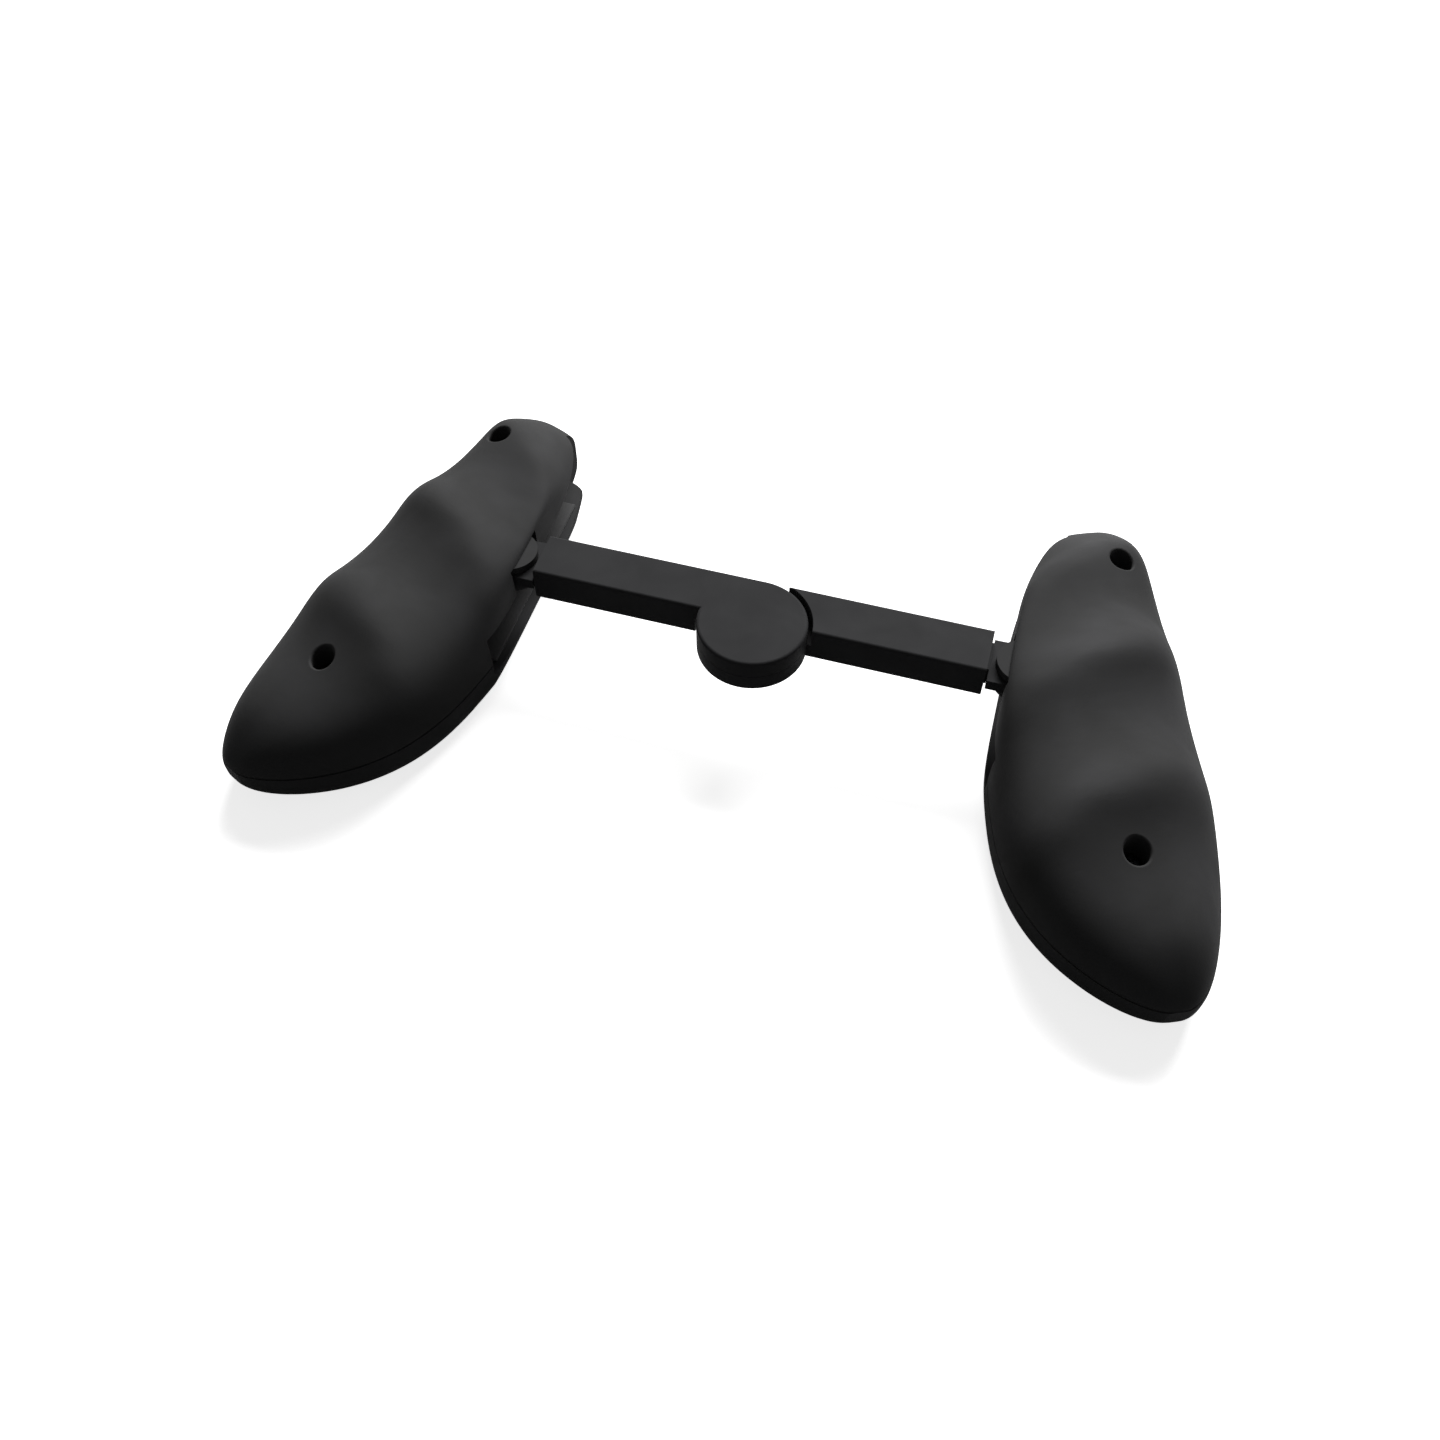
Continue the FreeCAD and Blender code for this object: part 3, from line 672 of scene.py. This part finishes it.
    def pair(self, tree: bpy.types.NodeTree, length: float, places: tuple[Vector, Vector], head: HeadUp,
             seed: int) -> bpy.types.Mesh:
        """Makes two screws.

        Args:
            tree: what tree() gave.
            length: from the seat to the tip.
            places: the middles of the two seats.
            head: which way the heads point.
            seed: for the angle that each drive has stopped at.

        Returns:
            The pair's mesh.
        """
        made = grow(tree, {"First Place": places[0], "Second Place": places[1], "Flip": head.value,
                           "Thread Radius": self.thread_radius - self.ridge_inset,
                           "Thread Pitch": self.thread_pitch,
                           "Thread Length": length - self.point_length - self.under_head, "Seed": seed},
                    self.blank(length))
        return smooth(made)


@dataclass
class RibbedStrip:
    """A rubber strip with rounded edges and half-round ribs across it, made flat with its ribs up."""

    rib_pitch: float = 1.6 * MM
    rib_radius: float = 0.42 * MM
    rib_height: float = 0.25 * MM
    edge_round: float = 0.22 * MM
    end_margin: float = 1.1 * MM

    def slab(self, width: float, length: float, thickness: float) -> bpy.types.Mesh:
        """Makes the strip without its ribs, with its edges rounded.

        Args:
            width: along X.
            length: along Y.
            thickness: along Z, up from the origin.

        Returns:
            The slab's mesh.
        """
        made = bmesh.new()
        bmesh.ops.create_cube(made, size=1.0)
        bmesh.ops.transform(made, matrix=Matrix.Diagonal((width, length, thickness, 1)), verts=made.verts)
        bmesh.ops.bevel(made, geom=made.edges[:], offset=self.edge_round, segments=3, profile=0.5, affect="EDGES")
        bmesh.ops.translate(made, vec=(0, 0, thickness / 2), verts=made.verts)
        mesh = bpy.data.meshes.new("strip_slab")
        made.to_mesh(mesh)
        made.free()
        return mesh

    def tree(self, material: bpy.types.Material) -> bpy.types.NodeTree:
        """Builds the tree that lays ribs across a slab.

        Args:
            material: the strip's finish.

        Returns:
            The Geometry Nodes tree.
        """
        tree, given = new_tree("ribbed_strip", {
            "Rib Length": ("Float", 1.0), "Rib Radius": ("Float", 1.0), "Rib Level": ("Float", 1.0),
            "Pitch": ("Float", 1.0), "First Rib": ("Float", 0.0), "Ribs": ("Int", 2)})
        half = add_node(tree, "ShaderNodeMath", {"operation": "MULTIPLY"}, {0: given.outputs["Rib Length"]}, {1: 0.5})
        back = add_node(tree, "ShaderNodeMath", {"operation": "MULTIPLY"}, {0: given.outputs["Rib Length"]}, {1: -0.5})
        ends = [add_node(tree, "ShaderNodeCombineXYZ", links={"X": node.outputs["Value"]}) for node in (back, half)]
        spine = add_node(tree, "GeometryNodeCurvePrimitiveLine",
                         links={"Start": ends[0].outputs["Vector"], "End": ends[1].outputs["Vector"]})
        round_bar = add_node(tree, "GeometryNodeCurvePrimitiveCircle", {"mode": "RADIUS"},
                             {"Radius": given.outputs["Rib Radius"]}, {"Resolution": 14})
        rib = add_node(tree, "GeometryNodeCurveToMesh",
                       links={"Curve": spine.outputs["Curve"], "Profile Curve": round_bar.outputs["Curve"]},
                       values={"Fill Caps": True})
        first = add_node(tree, "ShaderNodeCombineXYZ",
                         links={"Y": given.outputs["First Rib"], "Z": given.outputs["Rib Level"]})
        step = add_node(tree, "ShaderNodeCombineXYZ", links={"Y": given.outputs["Pitch"]})
        row = add_node(tree, "GeometryNodeMeshLine", {"mode": "OFFSET"},
                       {"Start Location": first.outputs["Vector"], "Offset": step.outputs["Vector"],
                        "Count": given.outputs["Ribs"]})
        ribs = add_node(tree, "GeometryNodeInstanceOnPoints",
                        links={"Points": row.outputs["Mesh"], "Instance": rib.outputs["Mesh"]})
        close_tree(tree, [given.outputs["Geometry"], ribs.outputs["Instances"]], material)
        return tree

    def strip(self, tree: bpy.types.NodeTree, width: float, length: float, thickness: float) -> bpy.types.Mesh:
        """Makes one strip.

        Args:
            tree: what tree() gave.
            width: across the ribs' ends.
            length: along the row of ribs.
            thickness: over slab and ribs.

        Returns:
            The strip's mesh, its underside's middle at the origin.
        """
        base = thickness - self.rib_height
        count = int((length - 2 * self.end_margin) / self.rib_pitch) + 1
        first = -(count - 1) * self.rib_pitch / 2
        made = grow(tree, {"Rib Length": width - 2 * self.edge_round, "Rib Radius": self.rib_radius,
                           "Rib Level": thickness - self.rib_radius, "Pitch": self.rib_pitch, "First Rib": first,
                           "Ribs": count}, self.slab(width, length, base))
        return smooth(made, angle_deg=50.0)


@dataclass
class CoilSpring:
    """A slide's extension spring: close coils between two round eyes, along +X from the sleeve's pin."""

    coil_radius: float = 1.05 * MM
    wire_radius: float = 0.2 * MM
    turns: float = 22.0
    eye_radius: float = 0.9 * MM
    leg: float = 0.5 * MM

    def tree(self, material: bpy.types.Material) -> bpy.types.NodeTree:
        """Builds the tree that winds the coils, the eyes and the short legs between them.

        Args:
            material: the wire's finish.

        Returns:
            The Geometry Nodes tree.
        """
        tree, given = new_tree("extension_spring", {
            "Coil Radius": ("Float", 1.0), "Wire Radius": ("Float", 0.1), "Turns": ("Float", 10.0),
            "Coil Length": ("Float", 5.0), "Eye Radius": ("Float", 1.0), "Leg": ("Float", 0.5)})
        wire = add_node(tree, "GeometryNodeCurvePrimitiveCircle", {"mode": "RADIUS"},
                        {"Radius": given.outputs["Wire Radius"]}, {"Resolution": 10})
        spiral = add_node(tree, "GeometryNodeCurveSpiral",
                          links={"Rotations": given.outputs["Turns"], "Start Radius": given.outputs["Coil Radius"],
                                 "End Radius": given.outputs["Coil Radius"], "Height": given.outputs["Coil Length"]},
                          values={"Resolution": 24})
        laid = add_node(tree, "GeometryNodeTransform", links={"Geometry": spiral.outputs["Curve"]},
                        values={"Rotation": (0, math.pi / 2, 0)})
        eye = add_node(tree, "GeometryNodeCurvePrimitiveCircle", {"mode": "RADIUS"},
                       {"Radius": given.outputs["Eye Radius"]}, {"Resolution": 32})
        away = add_node(tree, "ShaderNodeMath", {"operation": "ADD"},
                        {0: given.outputs["Eye Radius"], 1: given.outputs["Leg"]})
        near = add_node(tree, "ShaderNodeMath", {"operation": "MULTIPLY"}, {0: away.outputs["Value"]}, {1: -1.0})
        far = add_node(tree, "ShaderNodeMath", {"operation": "ADD"},
                       {0: away.outputs["Value"], 1: given.outputs["Coil Length"]})
        leg_near = add_node(tree, "ShaderNodeMath", {"operation": "MULTIPLY"}, {0: given.outputs["Leg"]}, {1: -1.0})
        leg_far = add_node(tree, "ShaderNodeMath", {"operation": "ADD"},
                           {0: given.outputs["Leg"], 1: given.outputs["Coil Length"]})
        low = add_node(tree, "ShaderNodeMath", {"operation": "MULTIPLY"}, {0: given.outputs["Coil Radius"]}, {1: -1.0})
        first_turn = add_node(tree, "ShaderNodeCombineXYZ", links={"Z": low.outputs["Value"]})
        last_turn = add_node(tree, "ShaderNodeCombineXYZ",
                             links={"X": given.outputs["Coil Length"], "Z": low.outputs["Value"]})
        runs = [laid.outputs["Geometry"]]
        for centre, root, turn in ((near, leg_near, first_turn), (far, leg_far, last_turn)):
            spot = add_node(tree, "ShaderNodeCombineXYZ", links={"X": centre.outputs["Value"]})
            ring = add_node(tree, "GeometryNodeTransform",
                            links={"Geometry": eye.outputs["Curve"], "Translation": spot.outputs["Vector"]})
            start = add_node(tree, "ShaderNodeCombineXYZ", links={"X": root.outputs["Value"]})
            line = add_node(tree, "GeometryNodeCurvePrimitiveLine",
                            links={"Start": start.outputs["Vector"], "End": turn.outputs["Vector"]})
            runs += [ring.outputs["Geometry"], line.outputs["Curve"]]
        parts = [add_node(tree, "GeometryNodeCurveToMesh", values={"Fill Caps": True},
                          links={"Curve": run, "Profile Curve": wire.outputs["Curve"]}).outputs["Mesh"]
                 for run in runs]
        close_tree(tree, parts, material)
        return tree

    def coil(self, tree: bpy.types.NodeTree) -> tuple[bpy.types.Mesh, float, float]:
        """Makes one right-hand spring in the CAD spring's place.

        Args:
            tree: what tree() gave.

        Returns:
            The spring's mesh and the X of its first and last turn.
        """
        low, high = right_box("slide_spring")
        reach = 2 * self.eye_radius + self.wire_radius + self.leg
        start, end = low.x + reach, high.x - reach
        made = grow(tree, {"Coil Radius": self.coil_radius, "Wire Radius": self.wire_radius, "Turns": self.turns,
                           "Coil Length": end - start, "Eye Radius": self.eye_radius, "Leg": self.leg})
        eye_level = low.z + self.coil_radius + self.wire_radius
        made.transform(Matrix.Translation((start, (low.y + high.y) / 2, eye_level)))
        return smooth(made, angle_deg=60.0), start, end


@dataclass
class Handle:
    """One scalloped handle: its shells, pads, clevis and fasteners."""

    side: Side
    finishes: Finishes
    screw: PanHeadScrew
    strip: RibbedStrip
    screw_tree: bpy.types.NodeTree
    strip_tree: bpy.types.NodeTree
    shell_screw_length: float = 8.0 * MM
    knuckle_screw_length: float = 7.0 * MM
    seed: int = 3

    @property
    def body(self) -> str:
        """The handle's body in the frame."""
        return f"{self.side.word}_handle"

    def build(self, frame: dict) -> None:
        """Dresses the handle's nodes and makes its finer pieces.
        """
        word, nodes = self.side.word, frame["nodes"]
        for short in ("back_shell", "front_shell", "knuckle_block"):
            dress(nodes[f"{word}_{short}"], self.finishes.shell)
        dress(nodes[f"{word}_knuckle_pin"], self.finishes.pin)
        self.keep("channel_pad", self.channel_pad(), "ribbed_channel_pad")
        self.keep("lip_pad", self.lip_pad(), "smooth_lip_pad")
        self.keep("shell_screws", self.shell_screws(), "threaded_shell_screws")
        self.keep("knuckle_screws", self.knuckle_screws(), "threaded_knuckle_screws")
        LOG.info("%s handle: two shells, clevis, pin, two pads and four threaded screws", word)

    def keep(self, node: str, mesh: bpy.types.Mesh, name: str) -> None:
        """Puts a made mesh in a node's place.

        Args:
            node: the node that it stands for, without its side.
            mesh: the finished mesh in its place.
            name: the piece's name, without its side.
        """
        piece = link_piece(f"{self.side.word}_{name}", mesh)
        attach(piece, self.body)
        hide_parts(f"{self.side.word}_{node}")

    def channel_pad(self) -> bpy.types.Mesh:
        """Makes the strip on the channel's floor, its ribs towards the phone's end.

        Returns:
            The strip's mesh in its place.
        """
        low, high = right_box("channel_pad")
        size = high - low
        made = self.strip.strip(self.strip_tree, size.z, size.y, size.x)
        ribs_inwards = Matrix.Rotation(-math.pi / 2, 4, "Y")
        middle = Matrix.Translation((high.x, (low.y + high.y) / 2, (low.z + high.z) / 2))
        return placed(made, middle @ ribs_inwards, self.side)

    def lip_pad(self) -> bpy.types.Mesh:
        """Makes the strip on the lip, without ribs so that it leaves no marks on the phone's screen.

        Returns:
            The strip's mesh in its place.
        """
        low, high = right_box("lip_pad")
        size = high - low
        made = smooth(self.strip.slab(size.x, size.y, size.z), angle_deg=50.0)
        made.materials.append(self.finishes.rubber)
        return placed(made, Matrix.Translation(((low.x + high.x) / 2, (low.y + high.y) / 2, low.z)), self.side)

    def shell_screws(self) -> bpy.types.Mesh:
        """Makes the two screws deep in the wells, the top one higher than the heel's.

        Returns:
            The pair's mesh in its place.
        """
        low, high = right_box("shell_screws")
        radius = self.screw.head_radius
        top = Vector((low.x + radius, high.y - radius, high.z - self.screw.head_height))
        heel = Vector((high.x - radius, low.y + radius, low.z + self.shell_screw_length))
        made = self.screw.pair(self.screw_tree, self.shell_screw_length, (top, heel), HeadUp.YES, self.seed)
        return placed(made, Matrix.Identity(4), self.side)

    def knuckle_screws(self) -> bpy.types.Mesh:
        """Makes the two screws up through the clevis's web.

        Returns:
            The pair's mesh in its place.
        """
        low, high = right_box("knuckle_screws")
        radius = self.screw.head_radius
        x, z = (low.x + high.x) / 2, low.z + self.screw.head_height
        places = (Vector((x, low.y + radius, z)), Vector((x, high.y - radius, z)))
        made = self.screw.pair(self.screw_tree, self.knuckle_screw_length, places, HeadUp.NO, self.seed + 1)
        return placed(made, Matrix.Identity(4), self.side)


@dataclass
class Arm:
    """One telescoping arm: its sleeve, slide, mouth bush, spring and spring pin."""

    side: Side
    finishes: Finishes
    spring: CoilSpring
    spring_tree: bpy.types.NodeTree

    def build(self, frame: dict) -> None:
        """Dresses the arm's nodes and winds its spring.
        """
        word, nodes = self.side.word, frame["nodes"]
        dress(nodes[f"{word}_sleeve"], self.finishes.arm)
        dress(nodes[f"{word}_slide"], self.finishes.arm)
        dress(nodes[f"{word}_mouth_bush"], self.finishes.acetal)
        dress(nodes[f"{word}_spring_pin"], self.finishes.pin)
        mesh, start, end = self.spring.coil(self.spring_tree)
        piece = link_piece(f"{word}_wound_spring", placed(mesh, Matrix.Identity(4), self.side))
        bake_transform(piece)
        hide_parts(f"{word}_slide_spring")
        LOG.info("%s arm: sleeve, slide, bush, pin and a spring of %g turns", word, self.spring.turns)


@dataclass
class FoldHinge:
    """The fold hinge's hidden screw and washer."""

    finishes: Finishes

    def build(self, frame: dict) -> None:
        """Dresses the two nodes.
        """
        dress(frame["nodes"]["hinge_screw"], self.finishes.oxide)
        dress(frame["nodes"]["hinge_washer"], self.finishes.acetal)
        LOG.info("fold hinge: screw and washer")


@dataclass
class Studio:
    """The floor, the soft lamp and the camera at the photograph's place."""

    # The photograph's camera: its angles, its focal length, and where it sees the hinge's axis at aim_level
    azimuth_deg: float = 16.18
    elevation_deg: float = 53.52
    focal_px: float = 1298.86
    image_px: float = 1440.0
    sensor_mm: float = 36.0
    aim_px: tuple[float, float] = (752.17, 620.99)
    aim_level: float = 0.023
    aim_depth: float = 0.23881
    clip_m: tuple[float, float] = (0.01, 50.0)
    floor_half: float = 3.0
    paper_glow: float = 0.78
    shadow_reach: float = 0.2
    bounce_colour: str = "#6a6a6a"
    room_level: float = 0.07
    lamp_place: tuple[float, float, float] = (0.02, 0.87, 0.71)
    lamp_size: tuple[float, float] = (0.8, 0.6)
    lamp_watts: float = 21.0

    def camera(self, hinge: Vector) -> None:
        """Sets the camera where the photograph's was.

        Args:
            hinge: a point on the fold hinge's axis, which the camera was measured from.
        """
        a, e = math.radians(self.azimuth_deg), math.radians(self.elevation_deg)
        back = Vector((math.sin(a) * math.cos(e), -math.cos(a) * math.cos(e), math.sin(e)))
        right = Vector((math.cos(a), math.sin(a), 0.0))
        up = back.cross(right)
        half = self.image_px / 2
        across = (self.aim_px[0] - half) / self.focal_px * self.aim_depth
        down = (self.aim_px[1] - half) / self.focal_px * self.aim_depth
        eye = Vector((hinge.x, hinge.y, self.aim_level)) + back * self.aim_depth - right * across + up * down
        data = bpy.data.cameras.new("camera")
        data.sensor_width = self.sensor_mm
        data.lens = self.focal_px / self.image_px * self.sensor_mm
        data.clip_start, data.clip_end = self.clip_m
        camera = bpy.data.objects.new("camera", data)
        bpy.context.scene.collection.objects.link(camera)
        camera.matrix_world = Matrix.Translation(eye) @ Matrix((right, up, back)).transposed().to_4x4()
        bpy.context.scene.camera = camera

    def floor(self) -> None:
        """Lays a plain floor that is seen white but for the shadow, and throws little light back up."""
        mesh = bpy.data.meshes.new("floor")
        half = self.floor_half
        mesh.from_pydata([(-half, -half, 0), (half, -half, 0), (half, half, 0), (-half, half, 0)], [],
                         [(0, 1, 2, 3)])
        floor = link_piece("floor", mesh)
        made = bpy.data.materials.new("white_paper_floor")
        made.use_nodes = True
        tree = made.node_tree
        tree.nodes.clear()
        path = add_node(tree, "ShaderNodeLightPath")
        dim = add_node(tree, "ShaderNodeBsdfDiffuse", values={"Color": linear(self.bounce_colour)})
        paper = add_node(tree, "ShaderNodeBsdfDiffuse", values={"Color": linear("#ffffff")})
        place = add_node(tree, "ShaderNodeTexCoord").outputs["Object"]
        away = add_node(tree, "ShaderNodeVectorMath", {"operation": "LENGTH"}, {0: place})
        fill = add_node(tree, "ShaderNodeMapRange", links={"Value": away.outputs["Value"]},
                        values={"From Min": self.shadow_reach, "From Max": 2 * self.shadow_reach,
                                "To Min": self.paper_glow, "To Max": 1.0})
        level = add_node(tree, "ShaderNodeMath", {"operation": "MULTIPLY"},
                         {0: path.outputs["Is Camera Ray"], 1: fill.outputs["Result"]})
        glow = add_node(tree, "ShaderNodeEmission", links={"Strength": level.outputs["Value"]},
                        values={"Color": linear("#ffffff")})
        lit = add_node(tree, "ShaderNodeAddShader", links={0: paper.outputs[0], 1: glow.outputs[0]})
        mix = add_node(tree, "ShaderNodeMixShader",
                       links={0: self.seen_directly(tree), 1: dim.outputs[0], 2: lit.outputs[0]})
        out = add_node(tree, "ShaderNodeOutputMaterial")
        tree.links.new(mix.outputs[0], out.inputs["Surface"])
        mesh.materials.append(made)

    def seen_directly(self, tree: bpy.types.NodeTree) -> bpy.types.NodeSocket:
        """Adds a factor of 1 for what the camera sees, straight, in a gloss or through something clear.

        Args:
            tree: the tree of the floor or of the world.

        Returns:
            The factor's socket.
        """
        path = add_node(tree, "ShaderNodeLightPath")
        gloss = add_node(tree, "ShaderNodeMath", {"operation": "MAXIMUM"},
                         {0: path.outputs["Is Camera Ray"], 1: path.outputs["Is Glossy Ray"]})
        clear = add_node(tree, "ShaderNodeMath", {"operation": "MAXIMUM"},
                         {0: gloss.outputs["Value"], 1: path.outputs["Is Transmission Ray"]})
        return clear.outputs["Value"]

    def lights(self) -> None:
        """Hangs one large soft lamp above and behind the grip, in a dim even room."""
        world = bpy.data.worlds.new("studio")
        bpy.context.scene.world = world
        world.use_nodes = True
        tree = world.node_tree
        level = add_node(tree, "ShaderNodeMapRange", links={"Value": self.seen_directly(tree)},
                         values={"To Min": self.room_level, "To Max": 1.0})
        back = tree.nodes["Background"]
        back.inputs["Color"].default_value = linear("#ffffff")
        tree.links.new(level.outputs["Result"], back.inputs["Strength"])
        lamp = bpy.data.lights.new("softbox", "AREA")
        lamp.shape = "RECTANGLE"
        lamp.size, lamp.size_y = self.lamp_size
        lamp.energy = self.lamp_watts
        lamp_object = bpy.data.objects.new("softbox", lamp)
        place = Vector(self.lamp_place)
        lamp_object.matrix_world = Matrix.Translation(place) @ place.to_track_quat("Z", "Y").to_matrix().to_4x4()
        bpy.context.scene.collection.objects.link(lamp_object)


def main() -> None:
    """Builds the scene in order and reports each piece."""
    logging.basicConfig(level=logging.INFO, format="%(message)s")
    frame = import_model()
    studio = Studio()
    studio.camera(Vector(next(j for j in frame["joints"] if j["name"] == "fold_hinge")["pos_m"]))
    finishes = Finishes()
    screw, strip, spring = PanHeadScrew(), RibbedStrip(), CoilSpring()
    screw_tree, strip_tree = screw.tree(finishes.oxide), strip.tree(finishes.rubber)
    spring_tree = spring.tree(finishes.wire)
    for side in Side:
        Handle(side, finishes, screw, strip, screw_tree, strip_tree).build(frame)
        Arm(side, finishes, spring, spring_tree).build(frame)
    FoldHinge(finishes).build(frame)
    studio.floor()
    studio.lights()
    bpy.context.scene.view_settings.view_transform = "Standard"


if __name__ == "__main__":
    main()
